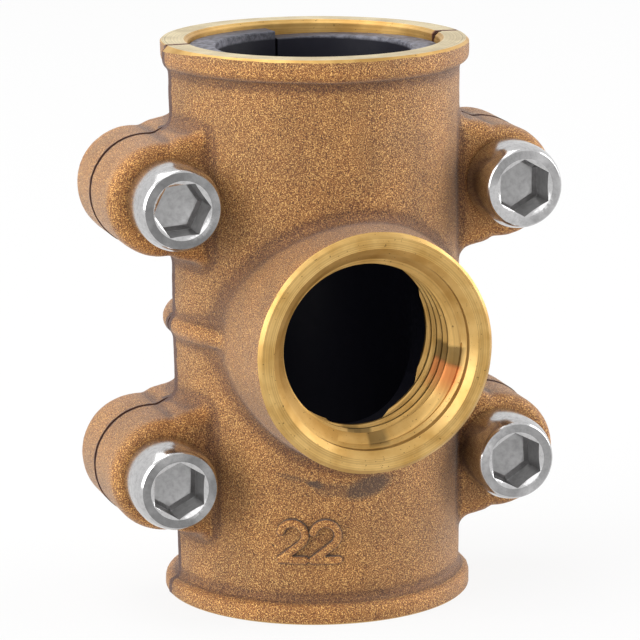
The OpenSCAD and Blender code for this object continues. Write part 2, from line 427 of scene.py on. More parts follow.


# %% [markdown]
# The rubber is nearly black, with pale dust and painted sheen streaks on its cut ends. The
# zinc plating is a mirror, and numbers stored on its faces paint shade inside each socket.

# %% Rubber and zinc
def rubber_material():
    """Dull black rubber, dusty and with a painted sheen where its ends were cut."""
    rim_z = 29.75
    material, tree = new_material("seal_rubber")
    where, split = object_place(tree)
    height = calc(tree, "MULTIPLY", calc(tree, "ABSOLUTE", split["Z"]), 1 / MM)
    cut_end = calc(tree, "MULTIPLY_ADD", height, 4.0, -4.0 * rim_z, clamp=True)
    dust = noise(tree, where, 0.9, 4.0, 0.7)
    streaks = ramp(tree, dust, [(0.36, 0.15), (0.5, 0.6), (0.64, 1.0)])
    at_front = calc(tree, "MULTIPLY_ADD", split["Y"], -0.13 / MM, 1.9)
    at_front = calc(tree, "MINIMUM", calc(tree, "MAXIMUM", at_front, 0.35), 1.0)
    dust_and_sheen = calc(tree, "MULTIPLY", cut_end, calc(tree, "MULTIPLY", streaks, at_front))
    # Pale bluish streaks on the cut ends: dust and a painted sheen.
    colour = mix(tree, dust_and_sheen, srgb(22, 22, 32), srgb(138, 138, 148))
    rough = ramp(tree, dust, [(0.3, 0.42), (0.7, 0.6)])
    shader = finish_material(tree, colour, rough, dust, 0.0, 0.02)
    shader.inputs["Specular IOR Level"].default_value = 0.15
    return material


def zinc_material():
    """Bright zinc plating, with a dull socket darkened by painted shade and rings of different brightness."""
    material, tree = new_material("zinc_steel")
    where = node(tree, "ShaderNodeTexCoord").outputs["Object"]
    wear = noise(tree, where, 0.5, 4.0, 0.6)
    # The stored shade is painted shade, darkest on the socket's walls and floor.
    ring_shade = calc(tree, "SUBTRACT", attribute(tree, "tone"), attribute(tree, "shade"))
    shade = calc(tree, "MULTIPLY_ADD", attribute(tree, "ring"), ring_shade, attribute(tree, "shade"))
    cloud = ramp(tree, noise(tree, where, 5.0, 2.0), [(0.4, 0.75), (0.6, 1.25)])
    plating = ramp(tree, wear, [(0.3, srgb(198, 197, 197)), (0.6, srgb(216, 215, 215))])
    plating = mix(tree, attribute(tree, "ring"), plating, tint(tree, plating, cloud))
    colour = node(tree, "ShaderNodeVectorMath", {0: plating, "Scale": shade}, operation="SCALE")
    in_socket = calc(tree, "LESS_THAN", attribute(tree, "shade"), 0.75)
    polish = ramp(tree, wear, [(0.3, 0.22), (0.7, 0.12)])
    rough = calc(tree, "MULTIPLY_ADD", in_socket, 0.2, polish)
    finish_material(tree, colour, rough, wear, 1.0, 0.01)
    return material


cast_bronze = cast_bronze_material()
turned_branch = turned_bronze_material("machined_bronze_branch", "Y", ((180, 141, 76), (204, 168, 104)))
turned_ends = turned_bronze_material("machined_bronze_ends", "Z", ((178, 138, 74), (202, 164, 98)))
# The flat end faces get a paler copy of the turned bronze, a painted highlight.
lit_turned_rims = turned_bronze_material("machined_bronze_rims", "Z", ((184, 166, 126), (212, 196, 156)))
seal_rubber = rubber_material()
zinc_steel = zinc_material()
print("materials:", [material.name for material in bpy.data.materials])

# %% [markdown]
# ## The casting as a field of distances
#
# A casting has no sharp edges: sand can't hold them. Such a soft form is easy to
# describe as a field, a number at each point in space that says how far the point is
# from the surface, negative inside the metal. Two fields are joined by taking the
# smaller number, and a rounded version of that leaves a fillet of any radius. VOXEL is
# the step of the grid, and SPARE the metal left on for machining.

# %% Fields
VOXEL = 0.3
SPARE = 0.6


def space(low, high, step=VOXEL):
    """Coordinates of a grid of points, as three arrays that broadcast together."""
    axes = [np.arange(a, b + step, step, dtype=np.float32) for a, b in zip(low, high)]
    return np.meshgrid(*axes, indexing="ij", sparse=True)


def filleted_join(a, b, radius):
    """Joins two fields with a fillet between them."""
    corner = np.hypot(np.maximum(radius - a, 0), np.maximum(radius - b, 0))
    return np.maximum(radius, np.minimum(a, b)) - corner


def rounded_overlap(a, b, radius):
    """What two fields have in common, with a rounded edge between them."""
    return -filleted_join(-a, -b, radius)


def soften(field, passes):
    """Rounds every edge a little with a few passes of a 1-2-1 average."""
    for _ in range(passes):
        for axis in range(3):
            line = np.moveaxis(field, axis, 0)
            line[1:-1] = (line[:-2] + 2 * line[1:-1] + line[2:]) / 4
    return field


# %% [markdown]
# The forms of the shells: the wall, the beads round its ends, the rib at mid height,
# the ears and the neck of the branch. Each one is a short formula.

# %% The forms of the casting
def spread_left(x, y, spread):
    """Widens the left side, most at the parting plane and less towards the front."""
    fade_y = 9
    share = np.clip(1 + y / fade_y, 0, 1.05)
    return np.where(x < 0, x * (1 - spread / wall_r * share), x)


def wall_field(x, y):
    """The outside of the round wall."""
    return np.hypot(x, y) - wall_r


def bead_field(x, y, z, low_height):
    """The thick ring round each end, a touch smaller at the top and thinner below."""
    radius = np.where(z > 0, bead_r - 0.12, bead_r)
    height = np.where(z > 0, bead_h, low_height)
    return rounded_overlap(np.hypot(x, y) - radius, half_h - height - np.abs(z), 0.6)


def rib_field(x, y, z, sweep):
    """A half-round rib at mid height that stops at an angle from the parting plane."""
    rib_half_w = 1.2
    centre_r = wall_r + 1.1 - rib_half_w
    ring = np.hypot(np.hypot(x, y) - centre_r, z)
    end_x = centre_r * math.cos(sweep)
    end_y = -centre_r * math.sin(sweep)
    end = np.sqrt((np.abs(x) - end_x) ** 2 + (y - end_y) ** 2 + z ** 2)
    return np.where(np.arctan2(-y, np.abs(x)) > sweep, end, ring) - rib_half_w


def for_each_ear(x, z, values):
    """The value of the ear that a point is nearest to."""
    upper = np.where(x > 0, values["upper_right"], values["upper_left"])
    lower = np.where(x > 0, values["lower_right"], values["lower_left"])
    return np.where(z > 0, upper, lower)


def ear_field(x, y, z, thickness, edge, wall):
    """All four ears: a round eye whose sides spread towards the wall and run into it."""
    growth = for_each_ear(x, z, ear_growth)
    z = z + for_each_ear(x, z, ear_drop)
    splay = math.radians(11)
    root = 10.0
    fillet = 1.25
    root_r = ear_r + root * math.sin(splay)
    inward = ear_x - np.abs(x)
    across = np.abs(np.abs(z) - ear_z)
    along = inward * math.cos(splay) - across * math.sin(splay)
    outline = across * math.cos(splay) + inward * -math.sin(splay) - ear_r
    outline = np.where(along < 0, np.hypot(inward, across) - ear_r, outline)
    outline = np.where(along > root * math.cos(splay), np.hypot(inward - root, across) - root_r, outline)
    outline = filleted_join(outline - growth, wall, fillet)
    return rounded_overlap(outline, np.abs(y) - thickness, edge)


def neck_field(x, y, z):
    """The outside of the branch, a little wider at its root than at its mouth."""
    root_flare = 0.75
    root_y = 7
    flare = root_flare * (branch_y + y) / (branch_y - root_y)
    neck = np.hypot(x, z) - branch_r - flare
    return np.maximum(neck, np.abs(y + branch_y / 2) - branch_y / 2 - SPARE)


# %% [markdown]
# Two numerals give the pipe's size. A pen follows a path over the unrolled wall, and
# the same distance later tells where dirt and painted shade lie round them.

# %% Plain numerals
numeral_z = -22.2
numeral_places = (-7.7, -4.1)
pen_half_w = 0.43


def stroke_field(u, v, path, half_width):
    """Distance to a pen stroke that follows a path of points."""
    gaps = []
    for (u0, v0), (u1, v1) in zip(path, path[1:]):
        du, dv = u1 - u0, v1 - v0
        along = np.clip(((u - u0) * du + (v - v0) * dv) / (du * du + dv * dv), 0, 1)
        gaps.append(np.hypot(u - u0 - along * du, v - v0 - along * dv))
    return np.minimum.reduce(gaps) - half_width


def two_path(centre):
    """The numeral 2: an arc, a slanting line and a foot."""
    height = 4.2
    width = 2.75
    r = width / 2
    top = height / 2 - r
    angles = [math.radians(a) for a in range(165, -50, -15)]
    arc = [(centre + r * math.cos(a), top + r * math.sin(a)) for a in angles]
    return arc + [(centre - r, -height / 2), (centre + r, -height / 2)]


def numerals_outline(x, y, z):
    """Distance to two numerals drawn on the wall under the branch."""
    along = wall_r * np.arctan2(x, -y)
    paths = [two_path(place) for place in numeral_places]
    return np.minimum(*[stroke_field(along, z - numeral_z, path, pen_half_w) for path in paths])


def raised_numerals():
    """The two numerals that give the pipe's size, as a finer piece to join to the wall."""
    step = 0.12
    proud = 0.6
    low = (-11.5, -17.6, -25.6)
    x, y, z = space(low, (-0.5, -11.0, -18.8), step)
    form = rounded_overlap(numerals_outline(x, y, z), np.hypot(x, y) - wall_r - proud, 0.3)
    form = np.maximum(form, wall_r - proud - np.hypot(x, y))
    return mesh_from_field("numerals", form, low, step)


# %% [markdown]
# A field becomes a mesh by surface nets. Every small cell of the grid that the surface
# crosses gets one point, at the average of its crossings, and every crossed edge of the
# grid gets one four-sided face between the cells round it.

# %% Surface nets
def mesh_from_field(name, field, low, step=VOXEL):
    """Meshes the surface where a field is zero."""
    shape = field.shape
    ring = np.array(((-1, -1), (0, -1), (0, 0), (-1, 0)))
    cell_ids = []
    crossings = []
    flips = []
    for axis in range(3):
        near = np.take(field, range(shape[axis] - 1), axis)
        far = np.take(field, range(1, shape[axis]), axis)
        crossed = (near < 0) != (far < 0)
        index = np.argwhere(crossed)
        share = near[crossed] / (near[crossed] - far[crossed])
        point = index.astype(np.float64)
        point[:, axis] += share
        cells = np.repeat(index[:, None, :], 4, axis=1)
        cells[:, :, (axis + 1) % 3] += ring[:, 0]
        cells[:, :, (axis + 2) % 3] += ring[:, 1]
        cell_ids.append(np.ravel_multi_index(tuple(np.moveaxis(cells, 2, 0)), shape))
        crossings.append(point)
        flips.append(far[crossed] < 0)
    flips = np.concatenate(flips)
    corner_of = np.unique(np.concatenate(cell_ids), return_inverse=True)[1].ravel()
    count = np.bincount(corner_of)
    spread = np.repeat(np.concatenate(crossings), 4, axis=0)
    points = np.stack([np.bincount(corner_of, weights=spread[:, k]) / count for k in range(3)], 1)
    faces = corner_of.reshape(-1, 4)
    faces[flips] = faces[flips][:, ::-1]
    made = mesh_object(name, points * step + np.array(low), faces.tolist())
    print(name, "has", len(made.data.polygons), "faces before machining")
    return made


# %% [markdown]
# A blank joins the forms and softens them as a whole. How far each place stands out
# from its surroundings is kept for the painted crease shade and the wear further down.

# %% Cast blanks
bead_fillet = 0.25
neck_fillet = 0.7
rib_end = math.radians(36)
relief = {}


def blank(name, form, low, z, beyond):
    """Softens the joined forms, keeps their relief and trims them close to size."""
    form = soften(form, 2)
    near = soften(form.copy(), 4)
    far = soften(near.copy(), 8)
    relief[name] = (2 * (near - form) + far - form, low)
    form = np.maximum(form, np.maximum(np.abs(z) - half_h, beyond) - SPARE)
    return mesh_from_field(name, form, low)


def front_blank():
    """The front shell as it leaves the sand, before any machining."""
    low = (-26.7, -23.1, -32.7)
    x, y, z = space(low, (26.7, 1.5, 32.7))
    wall = wall_field(spread_left(x, y, wall_spread + wall_lean * z), y)
    form = filleted_join(wall, bead_field(spread_left(x, y, bead_spread), y, z, 2.2), bead_fillet)
    form = np.minimum(form, rib_field(x, y, z, rib_end))
    form = np.minimum(form, ear_field(x, y, z, front_ear_t, 1.2, wall))
    form = filleted_join(form, neck_field(x, y, z), neck_fillet)
    return blank("front_shell_cast", form, low, z, y)


def rear_blank():
    """The rear shell as it leaves the sand."""
    low = (-26.7, -1.5, -32.7)
    x, y, z = space(low, (26.7, 18.3, 32.7))
    bead_x = np.where(z > 0, x * 1.01, x)
    wall = wall_field(np.where(x < 0, x * rear_slim, x), y)
    form = filleted_join(wall + 0 * z, bead_field(bead_x, y, z, 1.7), bead_fillet)
    form = np.minimum(form, rib_field(x, y, z, math.pi))
    form = np.minimum(form, ear_field(x, y, z, rear_ear_t, 1.7, wall) - 0.1)
    return blank("rear_shell_cast", form, low, z, -y)


front_shell = front_blank()
rear_shell = rear_blank()

# %% [markdown]
# ## A skin that came out of sand
#
# Sand leaves the surface slightly uneven. A small geometry tree pushes every point in
# or out along its normal by two noises, a broad one and a fine one.

# %% Uneven cast skin
def new_tree(name, inputs):
    """A geometry tree with named inputs. An input without a value is named after its kind."""
    tree = bpy.data.node_groups.new(name, "GeometryNodeTree")
    tree.is_modifier = True
    tree.interface.new_socket("Geometry", in_out="OUTPUT", socket_type="NodeSocketGeometry")
    for label, value in {"Geometry": None, **inputs}.items():
        kind = {float: "Float", int: "Int"}.get(type(value), label)
        socket = tree.interface.new_socket(label, in_out="INPUT", socket_type="NodeSocket" + kind)
        if value is not None:
            socket.default_value = value
    return tree, node(tree, "NodeGroupInput").outputs


def run_tree(piece, tree, **values):
    """Puts a geometry tree on a piece, sets its inputs by identifier, and bakes it."""
    modifier = piece.modifiers.new(tree.name, "NODES")
    modifier.node_group = tree
    for socket in tree.interface.items_tree:
        label = socket.name.lower().replace(" ", "_")
        if socket.in_out == "INPUT" and label in values:
            modifier[socket.identifier] = values[label]
    return bake_modifiers(piece)


def end_tree(tree, geometry, material):
    """Ends a tree with real geometry, its material and the output."""
    real = node(tree, "GeometryNodeRealizeInstances", {"Geometry": geometry})
    paint = node(tree, "GeometryNodeSetMaterial", {"Geometry": real, "Material": material})
    node(tree, "NodeGroupOutput", {"Geometry": paint})
    return tree


def cast_skin_tree():
    tree, given = new_tree("cast_skin", {"Broad Size": 0.006, "Broad Height": 0.0001, "Fine Size": 0.001,
                                         "Fine Height": 0.00003, "Material": None})
    push = None
    for size, height, detail in (("Broad Size", "Broad Height", 1.0), ("Fine Size", "Fine Height", 2.0)):
        scale = calc(tree, "DIVIDE", 1.0, given[size])
        grain = node(tree, "ShaderNodeTexNoise", {"Scale": scale, "Detail": detail})
        part = calc(tree, "MULTIPLY", calc(tree, "SUBTRACT", grain, 0.5), given[height])
        push = part if push is None else calc(tree, "ADD", push, part)
    normal = node(tree, "GeometryNodeInputNormal")
    offset = node(tree, "ShaderNodeVectorMath", {0: normal, "Scale": push}, operation="SCALE")
    moved = node(tree, "GeometryNodeSetPosition", {"Geometry": given["Geometry"], "Offset": offset})
    return end_tree(tree, moved, given["Material"])


cast_skin = cast_skin_tree()
for piece in (front_shell, rear_shell):
    run_tree(piece, cast_skin, broad_size=0.007, broad_height=0.0003, fine_size=0.001, fine_height=0.00007,
             material=cast_bronze)

# %% [markdown]
# ## Threads
#
# A screw thread is a ridge that follows a helix. In Geometry Nodes a spiral curve
# carries a four-sided profile along its length, and the caps are filled, so the ridge
# is a closed solid that can be joined to a shank or to the wall of a hole.

# %% Thread ridge
def thread_ridge_tree():
    tree, given = new_tree("thread_ridge", {"Radius": 0.01, "Pitch": 0.001, "Turns": 5.0, "Depth": 0.001,
                                            "Outer Width": 0.001, "Inner Width": 0.0002, "Steps": 96,
                                            "Material": None})
    height = calc(tree, "MULTIPLY", given["Pitch"], given["Turns"])
    helix = node(tree, "GeometryNodeCurveSpiral",
                 {"Resolution": given["Steps"], "Rotations": given["Turns"],
                  "Start Radius": given["Radius"], "End Radius": given["Radius"],
                  "Height": height})
    level = node(tree, "GeometryNodeSetCurveNormal", {"Curve": helix}, mode="Z_UP")
    tooth = node(tree, "GeometryNodeCurvePrimitiveQuadrilateral",
                 {"Height": given["Depth"], "Bottom Width": given["Outer Width"],
                  "Top Width": given["Inner Width"], "Offset": 0.0}, mode="TRAPEZOID")
    turn = node(tree, "GeometryNodeTransform", {"Geometry": tooth, "Rotation": (0, 0, math.radians(-90))})
    swept = node(tree, "GeometryNodeCurveToMesh", {"Curve": level, "Profile Curve": turn, "Fill Caps": True})
    return end_tree(tree, swept, given["Material"])


thread_ridge = thread_ridge_tree()
print("trees:", [tree.name for tree in bpy.data.node_groups])

# %% [markdown]
# ## Machining the shells
#
# The casting goes to the lathe, where the ends, the bore and the branch are turned to
# size. Booleans do the same here: each tool is a solid of revolution or a block, and
# the turned faces meet the cast skin in a crisp edge.

# %% Cutting tools
FAR = 45.0
OVER = 2.0
end_break = 0.4
bore_chamfer = 0.4
mouth_chamfer = 0.72
lead_y = branch_y - 1.6


def towards_branch(x, y, h):
    """Turns a solid made along +Z so that it points along the branch, towards -Y."""
    return (x, -h, y)


def end_tool(level):
    """Faces one end of the shells and breaks its outer edge, less so at the lower end."""
    edge = end_break if level > 0 else end_break / 3
    profile = [(0, half_h), (bead_r - edge, half_h), (bead_r + OVER, half_h - edge - OVER),
               (bead_r + OVER, half_h + OVER), (0, half_h + OVER)]
    return turned("end_face", profile, lambda x, y, h: (x, y, level * h), 256)


def bore_tool():
    """The seat of the rubber sleeve, with a chamfer at both ends."""
    profile = [(0, -half_h - OVER), (bore_r + bore_chamfer + OVER, -half_h - OVER),
               (bore_r, -half_h + bore_chamfer), (bore_r, half_h - bore_chamfer),
               (bore_r + bore_chamfer + OVER, half_h + OVER), (0, half_h + OVER)]
    return turned("bore", profile, segments=256)


def tap_drill():
    """The cylinder over the roots of the branch's thread."""
    profile = [(0, 2), (thread_r, 2), (thread_r, branch_y + OVER), (0, branch_y + OVER)]
    return turned("tap_drill", profile, towards_branch)


def mouth_tool():
    """Trims the thread's crests, and turns the lead, the counterbore and the face."""
    profile = [(0, 1), (crest_r, 1), (crest_r, lead_y - counterbore_r + crest_r), (counterbore_r, lead_y),
               (counterbore_r, branch_y - mouth_chamfer), (counterbore_r + mouth_chamfer, branch_y),
               (branch_r - end_break, branch_y), (branch_r + OVER, branch_y - end_break - OVER),
               (branch_r + OVER, branch_y + OVER), (0, branch_y + OVER)]
    return turned("mouth", profile, towards_branch)


def screw_hole(x0, z0, radius, low, high):
    """A hole along Y, between two distances in front of the parting plane."""
    return turned("screw_hole", [(0, low), (radius, low), (radius, high), (0, high)],
                  lambda x, y, h: (x0 + x, -h, z0 + y), 64)


def scoop():
    """The front shell's inner corner at its right edge is broken away at the top."""
    radius = 1.0
    scoop_x = 14.1
    angles = [math.radians(a) for a in range(0, 181, 15)]
    profile = [(radius * math.sin(a), radius * math.cos(a)) for a in angles]
    return turned("scoop", profile, lambda x, y, h: (scoop_x + x, y, half_h + 0.1 + h), 48)


def cuts(*tools):
    """Tools that all take metal away, as steps for the machine."""
    return [("DIFFERENCE", tool) for tool in tools]


turn_and_tone = {"screw_upper_left": (4, 0.42), "screw_upper_right": (30, 0.64),
                 "screw_lower_left": (28, 0.46), "screw_lower_right": (33, 0.64)}
screw_places = {}
for name in turn_and_tone:
    low, high = box_mm(name)
    screw_places[name] = ((low.x + high.x) / 2, (low.z + high.z) / 2)
print("screws at", {name: (round(x, 2), round(z, 2)) for name, (x, z) in screw_places.items()})

# %% [markdown]
# The ridge is joined to the drilled hole, and the mouth tool then trims its crests.

# %% The branch's thread
pitch = 1.814
ridge_start = 7.52
ridge_turns = 7.0
ridge_lap = 0.3


def ridge(name, material, turns, steps, **sizes):
    """A closed helical ridge along +Z, from the thread tree, with its sizes in millimetres."""
    made = mesh_object(name, [(0, 0, 0)], [])
    metres = {label: size * MM for label, size in sizes.items()}
    return run_tree(made, thread_ridge, material=material, turns=turns, steps=steps, **metres)


branch_ridge = ridge("branch_thread", turned_branch, ridge_turns, 128, radius=(thread_r + crest_r) / 2,
                     depth=thread_r - crest_r + ridge_lap, pitch=pitch, outer_width=pitch * 0.86,
                     inner_width=pitch * 0.14)
along_branch = Matrix.Translation((0, -ridge_start * MM, 0)) @ Matrix.Rotation(math.radians(90), 4, "X")
branch_ridge.data.transform(along_branch)
print("branch thread:", len(branch_ridge.data.polygons), "faces")

# %% Machine both shells
front_steps = [("UNION", raised_numerals())] + cuts(scoop(), tap_drill()) + [("UNION", branch_ridge)]
front_steps += cuts(mouth_tool(), bore_tool(), end_tool(1), end_tool(-1),
                    block("parting", (-FAR, -split_gap / 2, -FAR), (FAR, FAR, FAR)))
rear_steps = cuts(bore_tool(), end_tool(1), end_tool(-1),
                  block("parting", (-FAR, -FAR, -FAR), (FAR, split_gap / 2, FAR)))
for x0, z0 in screw_places.values():
    front_steps += cuts(screw_hole(x0, z0, clearance_r, -1, 10))
    rear_steps += cuts(screw_hole(x0, z0, tapped_r, -10, 1))
machine(front_shell, front_steps)
machine(rear_shell, rear_steps)
for piece in (front_shell, rear_shell):
    print(piece.name, len(piece.data.polygons), "faces,", len(piece.data.vertices), "points")

# %% [markdown]
# ## The rubber sleeve
#
# The sleeve is moulded as a tube and slit along its length, so that it opens over the
# pipe. One end of the slit has slid past the other, so the rim climbs on its way round.
# A rounded section is swept round the pipe's axis, and its height follows that slide.

# %% Sleeve
seal_half = 30.3
slit_angle = 95.0
slit_w = 0.4
slit_step = 0.86
seal_round = 0.22


def slide_at(share):
    """How far the sleeve has slid at a share of the way round."""
    return slit_step * (0.5 - (1 - share) ** 3)


def seal_section():
    """Corners of the sleeve's section, each rounded by four points."""
    section = []
    for r, z, start in ((seal_or, seal_half, 90), (seal_or, -seal_half, 0),
                        (seal_r, -seal_half, -90), (seal_r, seal_half, -180)):
        centre_r = r - math.copysign(seal_round, r - (seal_r + seal_or) / 2)
        centre_z = z - math.copysign(seal_round, z)
        for k in range(4):
            angle = math.radians(start - 30 * k)
            section.append((centre_r + seal_round * math.cos(angle), centre_z + seal_round * math.sin(angle)))
    return section


def sleeve():
    section = seal_section()
    n = len(section)
    steps = 240
    rest = math.degrees(slit_w / 2 / seal_or)
    points = []
    for k in range(steps + 1):
        share = k / steps
        angle = math.radians(slit_angle - rest - (360 - 2 * rest) * share)
        points += [(r * math.cos(angle), r * math.sin(angle), z + slide_at(share)) for r, z in section]
    faces = [(k * n + i, k * n + (i + 1) % n, (k + 1) * n + (i + 1) % n, (k + 1) * n + i)
             for k in range(steps) for i in range(n)]
    faces += [tuple(range(n)), tuple(steps * n + i for i in range(n))]
    made = mesh_object("rubber_sleeve", points, faces)
    close_and_turn_out(made)
    window = turned("window", [(0, 2), (thread_r - 0.3, 2), (thread_r - 0.3, 20), (0, 20)], towards_branch)
    return machine(made, [("DIFFERENCE", window)])


seal = sleeve()
print("sleeve", len(seal.data.polygons), "faces")

# %% [markdown]
# ## Socket head screws
#
# Four M6 screws with a hexagon socket. One is built along +Z: a turned blank, a helical
# ridge on its shank, a drilled hexagon with a countersunk mouth. A geometry tree then
# sets a copy on each of four points and turns it by the angle stored on its point.

# %% A screw's sizes and blank
head_r = 4.8
head_h = 6.0
ring_r = 4.2
shank_len = 16.0
shank_r = 3.0
core_r = 2.45
hex_across = 5.6
hex_corner_r = hex_across / 2 / math.cos(math.radians(30))
socket_depth = 3.6
floor_z = head_h - socket_depth
taper_depth = 0.7
drill_r = 2.4
lap = 0.01


def screw_blank():
    """Shank and head, with a rolled edge round the ring on top."""
    profile = [(0, -shank_len), (core_r - 0.5, -shank_len), (core_r, -shank_len + 0.5), (core_r, -1.5),
               (shank_r, -1.0), (shank_r, 0), (head_r - 0.3, 0), (head_r, 0.3), (head_r, 4.2),
               (head_r - 0.07, 4.6), (head_r - 0.2, 5.15), (head_r - 0.34, 5.6), (head_r - 0.44, 5.85),
               (ring_r, head_h), (0, head_h)]
    return turned("socket_screw", profile, segments=96)


def socket_tools():
    """The hexagon, its tapered floor, the drill's cone and the countersunk mouth."""
    deep = floor_z - taper_depth
    hexagon = [(0, floor_z), (hex_corner_r, floor_z), (hex_corner_r, head_h + 1), (0, head_h + 1)]
    taper = [(0, deep), (hex_corner_r - 0.4, deep), (hex_corner_r - lap, floor_z + lap), (0, floor_z + lap)]
    drill = [(0, floor_z - 1.5), (drill_r, deep + lap), (0, deep + lap)]
    sink = [(0, head_h - 0.3), (2.78, head_h - 0.3), (3.28, head_h), (3.78, head_h + 0.3), (0, head_h + 0.3)]
    return [turned("hexagon", hexagon, segments=6), turned("taper", taper, segments=6),
            turned("drill", drill, segments=64), turned("countersink", sink, segments=64)]

# %% One screw
def one_screw():
    """A blank with its thread joined on and its socket cut."""
    made = screw_blank()
    shank_ridge = ridge("shank_thread", zinc_steel, 14.0, 48, radius=(shank_r + core_r) / 2,
                        depth=shank_r - core_r + 0.1, pitch=1.0, outer_width=0.16, inner_width=0.86)
    shank_ridge.data.transform(Matrix.Translation((0, 0, (-shank_len + 0.55) * MM)))
    machine(made, [("UNION", shank_ridge)] + cuts(*socket_tools()))
    store_shades(made.data)
    return made


def store_shades(mesh):
    """How bright each face is painted: the socket's walls and floor get painted shade, and the ring is
    marked.
    """
    (x, y, z), (_, _, nz) = face_places(mesh)
    r = np.hypot(x, y)
    ring = (z > head_h - 0.02) & (nz > 0.99)
    inside = (r < hex_corner_r + 0.01) & (z > floor_z - 2) & (z < head_h - 0.2)
    wall = inside & (np.abs(nz) < 0.7)
    ground = inside & (nz > 0.7)
    taper = wall & (nz > 0.3)
    # Painted shade: the socket's walls and floor are darker than the rest of the screw.
    shade = np.where(taper, 0.95, np.where(wall, 0.56, np.where(ground, 0.61, 0.8)))
    store(mesh, "FACE", shade=shade, ring=ring)


screw = one_screw()
print("one screw:", len(screw.data.polygons), "faces")

# %% Four screws on their points
def set_on_points_tree():
    """A copy of an object on every point, pointing along -Y and turned by its angle."""
    tree, given = new_tree("set_on_points", {"Object": None, "Material": None})
    info = node(tree, "GeometryNodeObjectInfo", {"Object": given["Object"]})
    turn = node(tree, "GeometryNodeInputNamedAttribute", {"Name": "turn"}, data_type="FLOAT")
    back_turn = calc(tree, "MULTIPLY", turn, -1.0)
    angles = node(tree, "ShaderNodeCombineXYZ", {"X": math.radians(90), "Y": back_turn})
    copies = node(tree, "GeometryNodeInstanceOnPoints",
                  {"Points": given["Geometry"], "Instance": info.outputs["Geometry"],
                   "Rotation": angles})
    return end_tree(tree, copies, given["Material"])


seats = [(x, -front_ear_t, z) for x, z in screw_places.values()]
screws = mesh_object("socket_screws", seats, [])
store(screws.data, "POINT", turn=[math.radians(turn_and_tone[name][0]) for name in screw_places],
      tone=[turn_and_tone[name][1] for name in screw_places])
print("seats for", len(seats), "screws")

# %% [markdown]
# ## Which faces were machined
#
# The boolean leaves one mesh. A face belongs to a turned surface when it lies at that
# surface's radius or height, and everything else is cast skin.

# %% Which faces were machined
def paint_shell(piece):
    """Cast skin everywhere, apart from the turned faces, found by where they lie."""
    mesh = piece.data
    mesh.materials.clear()
    for material in (cast_bronze, turned_branch, turned_ends, lit_turned_rims):
        mesh.materials.append(material)
    (x, y, z), (_, ny, nz) = face_places(mesh)
    pipe_r = np.hypot(x, y)
    hole_r = np.hypot(x, z)
    slack = 0.02
    rims = (np.abs(z) > half_h - slack) & (np.abs(nz) > 0.99)
    ends = pipe_r < bore_r + slack
    ends |= (np.abs(z) > half_h - bore_chamfer - slack) & (pipe_r < bore_r + bore_chamfer + slack)
    ends |= (np.abs(z) > half_h - end_break - 0.05) & (np.abs(np.abs(nz) - math.sqrt(0.5)) < 0.02)
    branch = (y < -bore_r + 6) & (hole_r < counterbore_r + mouth_chamfer + slack) & (pipe_r > bore_r + slack)
    branch |= (y < -branch_y + slack) & (ny < -0.99)
    branch |= (y < -branch_y + end_break + 0.05) & (np.abs(np.abs(ny) - math.sqrt(0.5)) < 0.02)
    finish = np.where(rims, 3, np.where(branch, 1, np.where(ends, 2, 0)))
    mesh.polygons.foreach_set("material_index", finish.astype(np.int32))
    print(piece.name, "cast, branch, ends, rims:", [int((finish == k).sum()) for k in range(4)])


for piece in (front_shell, rear_shell):
    paint_shell(piece)

# %% [markdown]
# ## Wear, dirt, painted shade and a painted reflection
#
# Edges are rubbed bright and creases get painted shade. Stains are listed one by one. A
# blot, stain and painted shadow under the branch, is an ellipse on the unrolled wall: its place
# along the wall and in height, two half sizes, a tilt and a strength. A smear is a patch of the
# thread: the middle and half width of its angle, the same along Y, and a strength. A painted
# orange reflection lies on the thread's lower right.

# %% Wear, dirt and painted shade
blots = ((0.7, -16.3, 3.5, 1.45, 13, 0.92), (1.2, -15.6, 2.4, 0.6, 8, 0.9), (-5.2, -15.7, 1.3, 0.5, -12, 1.0),
         (-3.0, -16.4, 2.8, 1.0, 0, 0.55), (-7.6, -15.0, 2.2, 0.4, -12, 0.6))
smears = ((-9, 7, -17, 4, 0.66), (-97, 6, -16.5, 1.2, 0.75), (-91, 6, -17.8, 0.8, 0.65),
          (-85, 7, -19.4, 1.0, 0.65))


def sample(grid, low, points):
    """Reads a grid of numbers at any points, mixing the eight nearest of them."""
    place = np.clip((points - np.array(low)) / VOXEL, 0, np.array(grid.shape) - 1.001)
    cell = place.astype(int)
    share = place - cell
    total = np.zeros(len(points))
    for corner in np.ndindex(2, 2, 2):
        weight = np.prod(np.where(corner, share, 1 - share), axis=1)
        total += weight * grid[tuple((cell + corner).T)]
    return total


